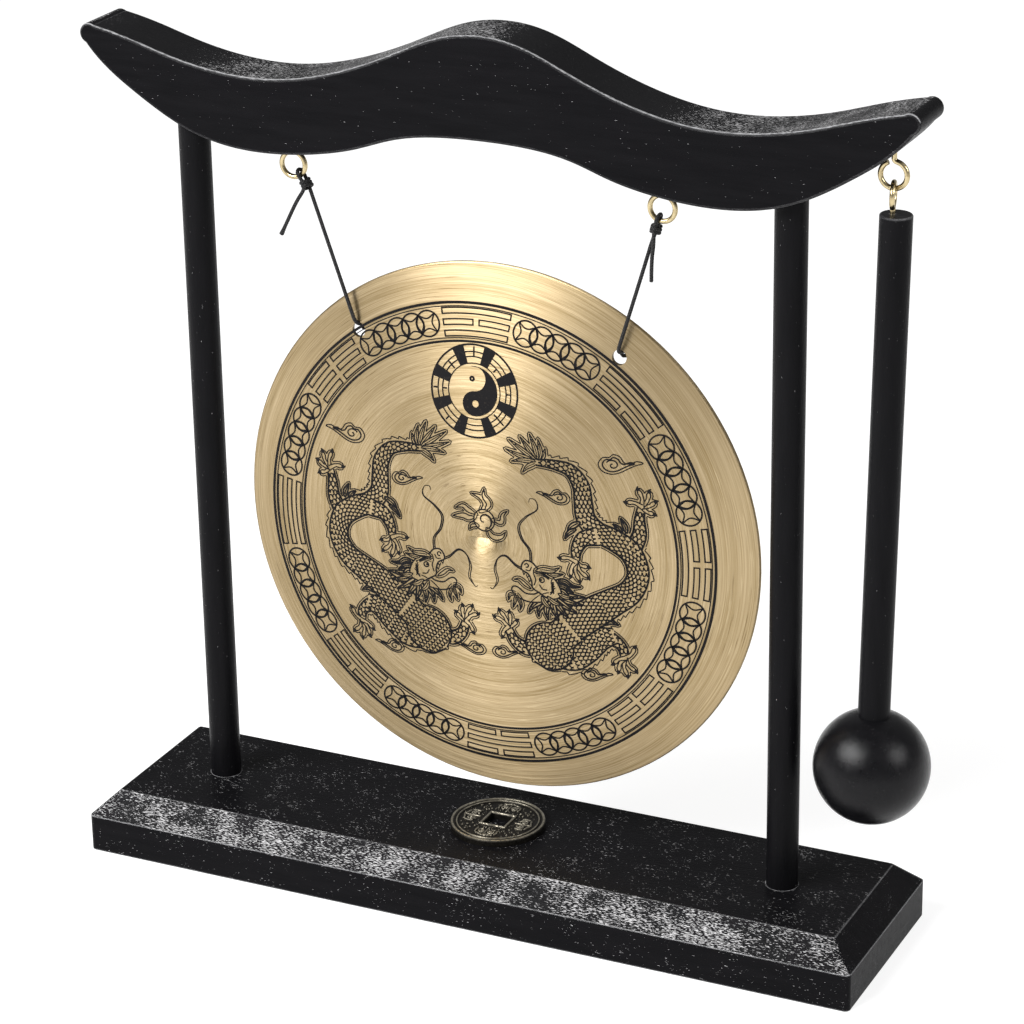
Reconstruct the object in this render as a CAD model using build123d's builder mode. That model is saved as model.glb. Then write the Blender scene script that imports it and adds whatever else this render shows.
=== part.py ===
"""Desk-top tam tam gong: a lacquered wooden stand with a roof-shaped beam, a shallow
domed brass gong hung on two tied cords, and a ball-headed wooden mallet on a hook eye.

Millimetres.  +Z is up, +X runs along the base board towards the mallet, and -Y is the
side that the gong's face looks to.  The origin is the middle of the board's underside.
"""
import os
from math import atan2, cos, degrees, pi, radians, sin, sqrt, tan

from build123d import *

# ---------------------------------------------------------------- base board
BASE_LENGTH = 228.6
BASE_WIDTH = 58.6
BASE_SIDE = 10.7                # height of the upright sides
BEVEL_RISE = 6.5
BEVEL_RUN = 6.7
BASE_TOP = BASE_SIDE + BEVEL_RISE
BASE_CORNER_R = 1.6
ARRIS_R = 0.4                   # sandpapered edges

# ---------------------------------------------------------------- posts
POST_D = 8.6
POST_X = {"left": -85.9, "right": 84.2}
POST_FOOT_Z = 9.2               # bottom of the blind hole in the board
POST_HEAD_DEPTH = 8.0           # how far each post goes up into the beam
DOWEL_GAP = 0.02                # glue line around posts, handle and screws

# ---------------------------------------------------------------- base screws
SCREW_D = 3.5
SCREW_LENGTH = 24.0
SCREW_HEAD_D = 7.0
SCREW_HEAD_H = 2.4
SCREW_SEAT_Z = 3.2              # depth of the counterbore from below
SCREW_SLOT_W = 1.0
SCREW_HEAD_PLAY = 0.4

# ---------------------------------------------------------------- roof beam
BEAM_X = 2.8                    # the beam overhangs a little more at the mallet's end
BEAM_T = 17.5
BEAM_CREST_Z = 243.3
BEAM_BELLY_Z = 215.8
# half outline, measured from the beam's middle: (distance, height)
ROOF_TOP = [(25.0, 235.9), (44.0, 228.8), (64.0, 225.7), (90.0, 229.0), (113.0, 235.1)]
ROOF_NOSE = (117.2, 233.4)
ROOF_UNDER = [(115.6, 230.2), (101.0, 217.8), (84.0, 208.8), (63.0, 205.6), (37.0, 209.3)]
BEAM_EDGE_R = 0.6

# ---------------------------------------------------------------- screw eyes
EYE_WIRE_D = 1.4
EYE_R = 3.45                    # ring radius to the middle of the wire
EYE_GAP_DEG = 26.0              # opening between the ring's free end and its neck
EYE_THREAD = 10.0
HANGER = {"left": (-56.15, 200.85), "right": (49.5, 201.4), "mallet": (110.6, 217.2)}
EYE_NECK_R = 1.0                # bend from the shank into the ring

# ---------------------------------------------------------------- coin medallion
COIN_D = 26.4
COIN_T = 1.9
COIN_RIM = 1.5
COIN_HOLE = 6.4
COIN_HOLE_RIM = 0.9
COIN_RELIEF = 0.45
COIN_Y = 0.3

# ---------------------------------------------------------------- gong
GONG_D = 150.0
GONG_T = 1.2
GONG_RIM_ROUND = 0.4            # rounding of the rim's edge
GONG_DOME = 6.5                 # how far the middle stands in front of the rim
GONG_X = 1.6
GONG_Z = 105.4
GONG_RIM_Y = 1.75
GONG_LEAN = -2.0                # turned in its own plane, degrees, top towards -X
HOLE_D = 4.0
HOLE_R = 65.3
HOLE_HALF_ANGLE = 35.4

# ---------------------------------------------------------------- cords
CORD_D = 1.04
KNOT_D = {"left": 3.2, "right": 3.5}
STOPPER_D = 4.4
STOPPER_Y = 3.5                 # middle of the stopper knot, behind the gong
CORD_IN_HOLE = 0.9              # the cord bears on the upper side of its hole
CORD_FRONT_Y = -1.45            # where the cord turns back to go through the hole
# middle of the eye's wire where each cord is tied, and the way its knot hangs from it
TIE = {"left": (-53.93, 198.2), "right": (48.3, 198.16)}
TIE_DOWN = {"left": (0.5, -0.866), "right": (-0.275, -0.961)}
KNOT_DROP = 2.7                 # middle of the knot below the middle of the wire
BEND_SHARE = 0.45               # share of the shorter run that a bend may take up

# ---------------------------------------------------------------- mallet
MALLET_EYE_R = 3.12
HANDLE_D = 8.4
HANDLE_TOP = (111.5, 207.3)
BALL_CENTRE = (108.65, 57.0)
BALL_D = 30.8
TENON_DEPTH = 13.0              # handle end inside the ball
MALLET_SHANK_DEPTH = 9.0
MALLET_LIFT = 0.07              # play between the two linked eyes
MALLET_EYE_TURN = 14.0          # degrees, the eye's near side turned towards +X

os.makedirs("parts", exist_ok=True)


def under_beam(distance):
    """Height of the beam's underside at a distance from the beam's middle."""
    spans = sorted([(0.0, BEAM_BELLY_Z)] + ROOF_UNDER)
    for (x0, z0), (x1, z1) in zip(spans, spans[1:]):
        if x0 <= abs(distance) <= x1:
            return z0 + (z1 - z0) * (abs(distance) - x0) / (x1 - x0)
    return spans[-1][1]


def keep(part, label):
    """Name a finished piece and write it to its own file."""
    part.label = label
    export_step(part, f"parts/{label}.step")


# ================================================================ base board
with BuildPart() as base_board:
    with BuildSketch(Plane.XY):
        RectangleRounded(BASE_LENGTH, BASE_WIDTH, BASE_CORNER_R)
    extrude(amount=BASE_SIDE)
    with BuildSketch(Plane.XY.offset(BASE_SIDE)):
        RectangleRounded(BASE_LENGTH, BASE_WIDTH, BASE_CORNER_R)
    with BuildSketch(Plane.XY.offset(BASE_TOP)):
        RectangleRounded(BASE_LENGTH - 2 * BEVEL_RUN, BASE_WIDTH - 2 * BEVEL_RUN, BASE_CORNER_R / 2)
    loft()
    fillet(base_board.faces().sort_by(Axis.Z)[-1].edges(), ARRIS_R)
    fillet(base_board.faces().sort_by(Axis.Z)[0].edges(), ARRIS_R)
    for x in POST_X.values():
        with BuildSketch(Plane.XY.offset(POST_FOOT_Z)):
            with Locations((x, 0)):
                Circle(POST_D / 2 + DOWEL_GAP)
        extrude(amount=BASE_TOP, mode=Mode.SUBTRACT)
        with Locations(Plane(origin=(x, 0, 0), x_dir=(1, 0, 0), z_dir=(0, 0, -1))):
            CounterBoreHole(SCREW_D / 2 + DOWEL_GAP, SCREW_HEAD_D / 2 + SCREW_HEAD_PLAY,
                            SCREW_SEAT_Z, depth=POST_FOOT_Z + 1)
keep(base_board.part, "base_board")

# ================================================================ posts
for side, x in POST_X.items():
    post_top = under_beam(x - BEAM_X) + POST_HEAD_DEPTH
    with BuildPart() as post:
        with BuildSketch(Plane.XY.offset(POST_FOOT_Z)):
            with Locations((x, 0)):
                Circle(POST_D / 2)
        extrude(amount=post_top - POST_FOOT_Z)
        chamfer(post.edges().filter_by(GeomType.CIRCLE), 0.5)
        with BuildSketch(Plane.XY):
            with Locations((x, 0)):
                Circle(SCREW_D / 2 + DOWEL_GAP)
        extrude(amount=SCREW_SEAT_Z + SCREW_LENGTH + 1, mode=Mode.SUBTRACT)
    keep(post.part, f"{side}_post")

# ================================================================ screws up into the posts
with BuildPart() as base_screws:
    for x in POST_X.values():
        with BuildSketch(Plane.XZ.shift_origin((x, 0, 0))):
            with BuildLine():
                Polyline(
                    (0, SCREW_SEAT_Z - SCREW_HEAD_H),
                    (SCREW_HEAD_D / 2 - 0.6, SCREW_SEAT_Z - SCREW_HEAD_H),
                    (SCREW_HEAD_D / 2, SCREW_SEAT_Z - SCREW_HEAD_H + 0.6),
                    (SCREW_HEAD_D / 2, SCREW_SEAT_Z),
                    (SCREW_D / 2, SCREW_SEAT_Z),
                    (SCREW_D / 2, SCREW_SEAT_Z + SCREW_LENGTH - 4),
                    (0.3, SCREW_SEAT_Z + SCREW_LENGTH),
                    (0, SCREW_SEAT_Z + SCREW_LENGTH),
                    close=True,
                )
            make_face()
        revolve(axis=Axis((x, 0, 0), (0, 0, 1)))
        with BuildSketch(Plane.XY.offset(SCREW_SEAT_Z - SCREW_HEAD_H)):
            with Locations((x, 0)):
                for turn in (0, 90):
                    Rectangle(SCREW_HEAD_D * 0.6, SCREW_SLOT_W, rotation=turn)
        extrude(amount=SCREW_HEAD_H * 0.55, mode=Mode.SUBTRACT)
keep(base_screws.part, "base_screws")

# ================================================================ roof beam
with BuildPart() as roof_beam:
    with BuildSketch(Plane.XZ.offset(-BEAM_T / 2).shift_origin((BEAM_X, BEAM_T / 2, 0))):
        with BuildLine():
            top = Spline((0, BEAM_CREST_Z), *ROOF_TOP, tangents=[(1, 0), (1, 0.18)])
            under = Spline(*ROOF_UNDER, (0, BEAM_BELLY_Z), tangents=[(-0.75, -1), (-1, 0)])
            ThreePointArc(top @ 1, ROOF_NOSE, under @ 0)
            mirror(about=Plane.YZ)
        make_face()
    extrude(amount=BEAM_T)
    fillet(roof_beam.faces().filter_by(Axis.Y).edges(), BEAM_EDGE_R)
    for side, x in POST_X.items():
        with BuildSketch(Plane.XY.offset(under_beam(x - BEAM_X) + POST_HEAD_DEPTH + 0.3)):
            with Locations((x, 0)):
                Circle(POST_D / 2 + DOWEL_GAP)
        extrude(amount=-40, mode=Mode.SUBTRACT)
    for name, (x, z) in HANGER.items():
        with BuildSketch(Plane.XY.offset(z)):
            with Locations((x, 0)):
                Circle(EYE_WIRE_D / 2 + DOWEL_GAP)
        extrude(amount=under_beam(x - BEAM_X) + EYE_THREAD + 0.5 - z, mode=Mode.SUBTRACT)
keep(roof_beam.part, "roof_beam")


# ================================================================ screw eyes
def screw_eye(plane, ring_r, reach):
    """A wire ring with a neck and a shank, in a plane whose +Y runs along the shank."""
    neck_y = sqrt(ring_r ** 2 + 2 * ring_r * EYE_NECK_R)
    join = degrees(atan2(neck_y, EYE_NECK_R))
    with BuildPart() as eye:
        with BuildLine(plane) as wire:
            Line((0, reach), (0, neck_y))
            CenterArc((EYE_NECK_R, neck_y), EYE_NECK_R, 180, join)
            CenterArc((0, 0), ring_r, join, -(join + 270 - EYE_GAP_DEG))
        with BuildSketch(Plane(origin=plane.from_local_coords((0, reach, 0)), z_dir=-plane.y_dir)):
            Circle(EYE_WIRE_D / 2)
        sweep(path=wire.wires()[0])
        tip = eye.faces().sort_by(Axis(plane.origin, plane.y_dir))[-1]
        chamfer(tip.edges(), 0.45)
    return eye.part


for name, (x, z) in HANGER.items():
    eye_plane = Plane(origin=(x, 0, z), x_dir=(1, 0, 0), z_dir=(0, -1, 0))
    eye_label = "mallet_hanger_eye" if name == "mallet" else f"{name}_hanger_eye"
    keep(screw_eye(eye_plane, EYE_R, under_beam(x - BEAM_X) + EYE_THREAD - z), eye_label)

# ================================================================ coin medallion
with BuildPart() as coin_medallion:
    with BuildSketch(Plane.XY.offset(BASE_TOP)):
        with Locations((0, COIN_Y)):
            Circle(COIN_D / 2)
            Rectangle(COIN_HOLE, COIN_HOLE, mode=Mode.SUBTRACT)
    extrude(amount=COIN_T)
    with BuildSketch(Plane.XY.offset(BASE_TOP + COIN_T - COIN_RELIEF)):
        with Locations((0, COIN_Y)):
            Circle(COIN_D / 2 - COIN_RIM)
            Rectangle(COIN_HOLE + 2 * COIN_HOLE_RIM, COIN_HOLE + 2 * COIN_HOLE_RIM, mode=Mode.SUBTRACT)
    extrude(amount=COIN_RELIEF, mode=Mode.SUBTRACT)
    fillet(coin_medallion.faces().sort_by(Axis.Z)[-1].outer_wire().edges(), COIN_RELIEF / 2)
keep(coin_medallion.part, "coin_medallion")

# ================================================================ gong
GONG_SPHERE_R = ((GONG_D / 2) ** 2 + GONG_DOME ** 2) / (2 * GONG_DOME)


def dome_front(distance):
    """How far the middle of the sheet stands in front of its rim, at a distance from its axis."""
    return sqrt(GONG_SPHERE_R ** 2 - distance ** 2) - (GONG_SPHERE_R - GONG_DOME)


hole_at = {}
for side, sign in (("left", -1), ("right", 1)):
    turn = radians(GONG_LEAN + sign * HOLE_HALF_ANGLE)
    hole_at[side] = (GONG_X + HOLE_R * sin(turn), GONG_Z + HOLE_R * cos(turn))

with BuildPart() as gong_disc:
    with BuildSketch(Plane(origin=(GONG_X, GONG_RIM_Y, GONG_Z), x_dir=(1, 0, 0), z_dir=(0, 0, 1))):
        with BuildLine():
            reach = GONG_D / 2 - GONG_RIM_ROUND
            skins = []
            for skin in (-GONG_T / 2, GONG_T / 2):
                spots = [(r, skin - dome_front(r)) for r in (0, reach / 2, reach)]
                skins.append(ThreePointArc(*spots))
            Line(skins[0] @ 0, skins[1] @ 0)
            ThreePointArc(skins[0] @ 1, (GONG_D / 2, 0), skins[1] @ 1)
        make_face()
    revolve(axis=Axis((GONG_X, GONG_RIM_Y, GONG_Z), (0, 1, 0)))
    for x, z in hole_at.values():
        with BuildSketch(Plane.XZ.offset(HOLE_D * 2)):
            with Locations((x, z)):
                Circle(HOLE_D / 2)
        extrude(amount=-HOLE_D * 4, mode=Mode.SUBTRACT)
keep(gong_disc.part, "gong_disc")


# ================================================================ cords
def tied(side, across, down):
    """A point of the tie, measured from the middle of the eye's wire."""
    (x, z), (dx, dz) = TIE[side], TIE_DOWN[side]
    return (x + dx * down, across, z + dz * down)


def hole_entry(side, y):
    """A point in line with the place where the cord goes through its hole."""
    x, z = hole_at[side]
    return (x, y, z + CORD_IN_HOLE)


# each route runs from the free tail, over the eye's wire, and down to the stopper knot
tail_points = {
    "left": [(-60.1, -1.0, 181.3), (-57.5, -1.3, 186.2), (-54.9, -1.2, 191.3)],
    "right": [(46.6, -0.5, 181.6), (46.7, -0.7, 187.0), (47.4, -0.9, 191.6)],
}
lead_points = {
    "left": [],
    "right": [(46.3, 0.5, 191.9), (45.3, 0.1, 188.2)],
}


def over_wire(side):
    """Up in front of the wire, over it, and down behind it."""
    loop = [(-0.75, 3.4), (-1.6, -0.5), (-0.7, -1.5), (0.7, -1.5), (1.6, -0.5), (0.75, 3.4)]
    return [tied(side, across, down) for across, down in loop]


def bend_radii(points):
    """The largest bend that each corner's two runs allow."""
    radii = []
    for before, corner, after in zip(points, points[1:], points[2:]):
        run_in = Vector(*corner) - Vector(*before)
        run_out = Vector(*after) - Vector(*corner)
        half_turn = radians(run_in.get_angle(run_out)) / 2
        radii.append(BEND_SHARE * min(run_in.length, run_out.length) / tan(half_turn))
    return radii


for side in ("left", "right"):
    route = tail_points[side] + over_wire(side) + lead_points[side]
    route += [hole_entry(side, CORD_FRONT_Y), hole_entry(side, STOPPER_Y)]
    radii = bend_radii(route)
    print(side, "cord radii", [round(r, 2) for r in radii])
    with BuildPart() as cord:
        with BuildLine() as line:
            FilletPolyline(*route, radius=radii)
        path = line.wires()[0]
        with BuildSketch(Plane(origin=path @ 0, z_dir=path % 0)):
            Circle(CORD_D / 2)
        sweep(path=path)
    section = pi * CORD_D ** 2 / 4
    print(side, "cord length", round(path.length, 2), "volume / (section x length)",
          round(cord.part.volume / (section * path.length), 4))
    keep(cord.part, f"{side}_cord")

    with BuildPart() as knot:
        with Locations(tied(side, 0, KNOT_DROP)):
            Sphere(KNOT_D[side] / 2)
    keep(knot.part, f"{side}_cord_knot")

    with BuildPart() as stopper:
        with Locations(hole_entry(side, STOPPER_Y)):
            Sphere(STOPPER_D / 2)
    keep(stopper.part, f"{side}_stopper_knot")

# ================================================================ mallet
ball = Vector(BALL_CENTRE[0], 0, BALL_CENTRE[1])
handle_top = Vector(HANDLE_TOP[0], 0, HANDLE_TOP[1])
mallet_up = (handle_top - ball).normalized()
tenon_base = BALL_D / 2 - TENON_DEPTH
hanger_x, hanger_z = HANGER["mallet"]
eye_z = hanger_z - EYE_R + EYE_WIRE_D + MALLET_LIFT - MALLET_EYE_R
eye_across = Vector(-sin(radians(MALLET_EYE_TURN)), cos(radians(MALLET_EYE_TURN)), 0)
eye_plane = Plane(origin=(hanger_x, 0, eye_z), x_dir=mallet_up.cross(eye_across.cross(mallet_up)),
                  z_dir=eye_across.cross(-mallet_up))
shank_reach = eye_z - HANDLE_TOP[1] + MALLET_SHANK_DEPTH
keep(screw_eye(eye_plane, MALLET_EYE_R, shank_reach), "mallet_eye")

with BuildPart() as mallet_handle:
    with BuildSketch(Plane(origin=ball + mallet_up * tenon_base, z_dir=mallet_up)):
        Circle(HANDLE_D / 2)
    extrude(amount=(handle_top - ball).length - tenon_base)
    fillet(mallet_handle.edges().filter_by(GeomType.CIRCLE), ARRIS_R)
    with BuildSketch(Plane(origin=eye_plane.origin, z_dir=-mallet_up)):
        Circle(EYE_WIRE_D / 2 + DOWEL_GAP)
    extrude(amount=shank_reach + 0.5, mode=Mode.SUBTRACT)
keep(mallet_handle.part, "mallet_handle")

with BuildPart() as mallet_head:
    with Locations(Plane(origin=ball, z_dir=mallet_up)):
        Sphere(BALL_D / 2)
    with BuildSketch(Plane(origin=ball + mallet_up * (tenon_base - DOWEL_GAP), z_dir=mallet_up)):
        Circle(HANDLE_D / 2 + DOWEL_GAP)
    extrude(amount=BALL_D, mode=Mode.SUBTRACT)
keep(mallet_head.part, "mallet_head")
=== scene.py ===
"""Looks of the desk-top tam tam gong: black lacquered stand, brushed domed gong with its printed
face, two tied cords, a coin on the base and a ball-headed mallet.

Blender works in metres.  The face's print, the cords' routes and the coin are written in
millimetres and scaled by MM.  +Z is up and the gong's face looks to -Y.
"""

from math import ceil, cos, hypot, pi, radians, sin, sqrt

import bmesh
import bpy
import numpy as np
from mathutils import Matrix, Vector
from mathutils.geometry import tessellate_polygon


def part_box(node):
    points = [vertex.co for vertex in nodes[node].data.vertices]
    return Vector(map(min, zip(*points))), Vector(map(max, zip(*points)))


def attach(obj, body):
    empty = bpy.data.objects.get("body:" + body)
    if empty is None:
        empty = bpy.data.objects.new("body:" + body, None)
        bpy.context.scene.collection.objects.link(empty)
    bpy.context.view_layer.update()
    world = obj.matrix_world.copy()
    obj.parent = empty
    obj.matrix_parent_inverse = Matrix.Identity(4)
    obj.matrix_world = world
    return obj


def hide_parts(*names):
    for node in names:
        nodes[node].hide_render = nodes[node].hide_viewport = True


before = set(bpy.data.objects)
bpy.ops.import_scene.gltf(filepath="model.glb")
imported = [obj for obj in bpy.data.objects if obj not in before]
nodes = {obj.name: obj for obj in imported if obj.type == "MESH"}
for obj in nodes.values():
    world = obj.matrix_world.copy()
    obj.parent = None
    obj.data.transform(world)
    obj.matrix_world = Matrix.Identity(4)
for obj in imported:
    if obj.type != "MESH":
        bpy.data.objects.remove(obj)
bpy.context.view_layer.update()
MM = 0.001


# ---- camera
CAMERA_AZIMUTH = radians(25.67)
CAMERA_ELEVATION = radians(22.20)
CAMERA_ROLL = radians(-0.95)
CAMERA_LENS = 127.18
CAMERA_DISTANCE = 0.96193
CAMERA_TARGET = Vector((0.006016, 0.0, 0.111775))


def make_camera():
    """A long lens, a little above the gong and to its right."""
    az, el, roll = CAMERA_AZIMUTH, CAMERA_ELEVATION, CAMERA_ROLL
    back = Vector((sin(az) * cos(el), -cos(az) * cos(el), sin(el)))
    right = Vector((cos(az), sin(az), 0))
    up = back.cross(right)
    rolled_right = right * cos(roll) + up * sin(roll)
    rolled_up = up * cos(roll) - right * sin(roll)
    data = bpy.data.cameras.new("camera")
    data.lens = CAMERA_LENS
    data.sensor_width = 36
    data.clip_start, data.clip_end = 0.01, 50
    camera = bpy.data.objects.new("camera", data)
    turn = Matrix((rolled_right, rolled_up, back)).transposed()
    camera.matrix_world = Matrix.Translation(CAMERA_TARGET + back * CAMERA_DISTANCE) @ turn.to_4x4()
    bpy.context.scene.collection.objects.link(camera)
    bpy.context.scene.camera = camera


make_camera()


# ---- mesh helpers
def mesh_object(name, points, faces, material=None, smooth=True):
    """A new mesh from points in metres."""
    mesh = bpy.data.meshes.new(name)
    mesh.from_pydata([tuple(p) for p in points], [], [tuple(f) for f in faces])
    mesh.validate()
    for polygon in mesh.polygons:
        polygon.use_smooth = smooth
    piece = bpy.data.objects.new(name, mesh)
    bpy.context.scene.collection.objects.link(piece)
    if material:
        mesh.materials.append(material)
    return piece


def frames(line, aside):
    """Two directions across a line at each of its points, turning as little as they can.

    Aside is any direction that the line doesn't start along.
    """
    ahead = np.gradient(line, axis=0)
    ahead /= np.linalg.norm(ahead, axis=1)[:, None]
    normal = np.cross(ahead[0], aside)
    normals = []
    for forward in ahead:
        normal = normal - forward * (normal @ forward)
        normal = normal / np.linalg.norm(normal)
        normals.append(normal)
    return np.array(normals), np.cross(ahead, normals)


def ring_faces(rings, around, wrap=False):
    """Quads between rings of points, and from the last ring to the first if they wrap."""
    faces = []
    for i in range(rings if wrap else rings - 1):
        here, there = i * around, (i + 1) % rings * around
        for k in range(around):
            following = (k + 1) % around
            faces.append((here + k, here + following, there + following, there + k))
    return faces


TUBE_SIDES = 6


def tube(line, radius, tip):
    """Points and faces of a closed tube about a line of points, thinner at both tips."""
    normals, across = frames(line, (0.3, 0.2, 0.93))
    radii = np.full(len(line), radius)
    radii[[0, -1]] = tip
    angles = 2 * pi * np.arange(TUBE_SIDES) / TUBE_SIDES
    way = normals[:, None] * np.cos(angles)[:, None] + across[:, None] * np.sin(angles)[:, None]
    points = (line[:, None] + radii[:, None, None] * way).reshape(-1, 3)
    ends = range(TUBE_SIDES)[::-1], range(len(points) - TUBE_SIDES, len(points))
    return points, ring_faces(len(line), TUBE_SIDES) + [tuple(end) for end in ends]


def joined(parts):
    """Several (points, faces) as one."""
    points, faces = [], []
    for some_points, some_faces in parts:
        start = len(points)
        points += list(some_points)
        faces += [tuple(start + i for i in f) for f in some_faces]
    return points, faces


def distances(line):
    """How far along a line each of its points is."""
    return np.concatenate([[0], np.cumsum(np.linalg.norm(np.diff(line, axis=0), axis=1))])


def evenly(line, step):
    """A line of points again, about a step apart."""
    line = np.array(line, float)
    along = distances(line)
    at = np.linspace(0, along[-1], max(2, ceil(along[-1] / step) + 1))
    return np.stack([np.interp(at, along, line[:, k]) for k in range(line.shape[1])], axis=1)


def curved(points, step=0.3, closed=False):
    """A smooth line through a few points, sampled about a step apart."""
    points = np.array(points, float)
    if closed:
        points = np.vstack([points[-1], points, points[0], points[1]])
    else:
        points = np.vstack([2 * points[0] - points[1], points, 2 * points[-1] - points[-2]])
    line = []
    for before, start, end, after in zip(points, points[1:], points[2:], points[3:]):
        for t in np.linspace(0, 1, 12, endpoint=False):
            line.append(0.5 * (2 * start + (end - before) * t
                               + (2 * before - 5 * start + 4 * end - after) * t ** 2
                               + (3 * start - 3 * end + after - before) * t ** 3))
    line.append(points[-2])
    return evenly(line, step)


# ---- cord routes
CORD_PITCH = 3.2
BRAID_STRANDS = 8
STRAND_R = 0.20
BRAID_R = 0.32
BRAID_WAVE = 0.045
CORE_R = BRAID_R * 0.8
FLARE, FLARE_LENGTH = 0.55, 2.6     # how far, and over what length, a cut end opens
CORD_ROUTES = {
    "left": [
        (-38.06, 3.5, 158.18), (-38.06, -1.45, 158.18), (-40.27, -1.11, 163.96),
        (-50.86, 0.54, 191.67), (-52.23, 0.75, 195.26), (-54.18, 1.6, 198.63),
        (-54.68, 0.7, 199.50), (-54.68, -0.7, 199.50), (-54.18, -1.6, 198.63),
        (-52.23, -0.75, 195.26), (-54.9, -1.2, 191.3), (-57.5, -1.3, 186.2),
        (-60.1, -1.0, 181.3),
    ],
    "right": [
        (37.546, 3.5, 160.816), (37.546, -2.35, 160.816), (39.23, -1.75, 166.78),
        (44.25, -0.11, 184.5), (45.3, 0.1, 188.2), (46.3, 0.5, 191.9), (47.365, 0.75, 194.89),
        (48.44, 1.6, 198.64), (48.71, 0.7, 199.60), (48.71, -0.7, 199.60),
        (48.44, -1.6, 198.64), (47.365, -0.75, 194.89), (47.4, -0.9, 191.6),
        (46.7, -0.7, 187.0), (46.6, -0.5, 181.6),
    ],
}
TIE_AT = {"left": (-52.58, 0, 195.86), "right": (47.56, 0, 195.57)}
TIE_ALONG = {"left": (0.5, 0, -0.866), "right": (-0.275, 0, -0.961)}
STOPPER_AT = {"left": (-38.06, 3.5, 158.18), "right": (37.55, 3.5, 160.82)}


def route_line(route):
    """The smooth line that a route's points shape, read back in millimetres."""
    curve = bpy.data.curves.new("route", "CURVE")
    curve.dimensions = "3D"
    spline = curve.splines.new("NURBS")
    spline.points.add(len(route) - 1)
    for point, place in zip(spline.points, route):
        point.co = (*place, 1)
    spline.order_u = 3
    spline.use_endpoint_u = True
    spline.resolution_u = 16
    holder = bpy.data.objects.new("route", curve)
    mesh = bpy.data.meshes.new_from_object(holder)
    line = np.array([v.co for v in mesh.vertices], float)
    bpy.data.meshes.remove(mesh)
    bpy.data.objects.remove(holder)
    bpy.data.curves.remove(curve)
    return line


def braid(line, flare_end=False):
    """Round braided cord: half of the strands wind one way and half the other, over and under."""
    line = evenly(line, 0.2)
    normals, across = frames(line, (0.31, 0.22, 0.92))
    along = distances(line)
    left = along[-1] - along
    flare = 1 + FLARE * np.clip(1 - left / FLARE_LENGTH, 0, 1) ** 1.5 * flare_end
    ways = BRAID_STRANDS / 2
    lay = 2 * pi * along / CORD_PITCH
    parts = []
    for k in range(BRAID_STRANDS):
        way = 1 if k % 2 else -1
        angle = 2 * pi * (k // 2) / ways + way * lay
        reach = (BRAID_R + BRAID_WAVE * way * np.cos(ways * lay)) * flare
        strand = line + normals * (reach * np.cos(angle))[:, None]
        strand += across * (reach * np.sin(angle))[:, None]
        parts.append(tube(strand, STRAND_R, STRAND_R * 0.6))
    parts.append(tube(line, CORE_R, CORE_R))
    return joined(parts)


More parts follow.
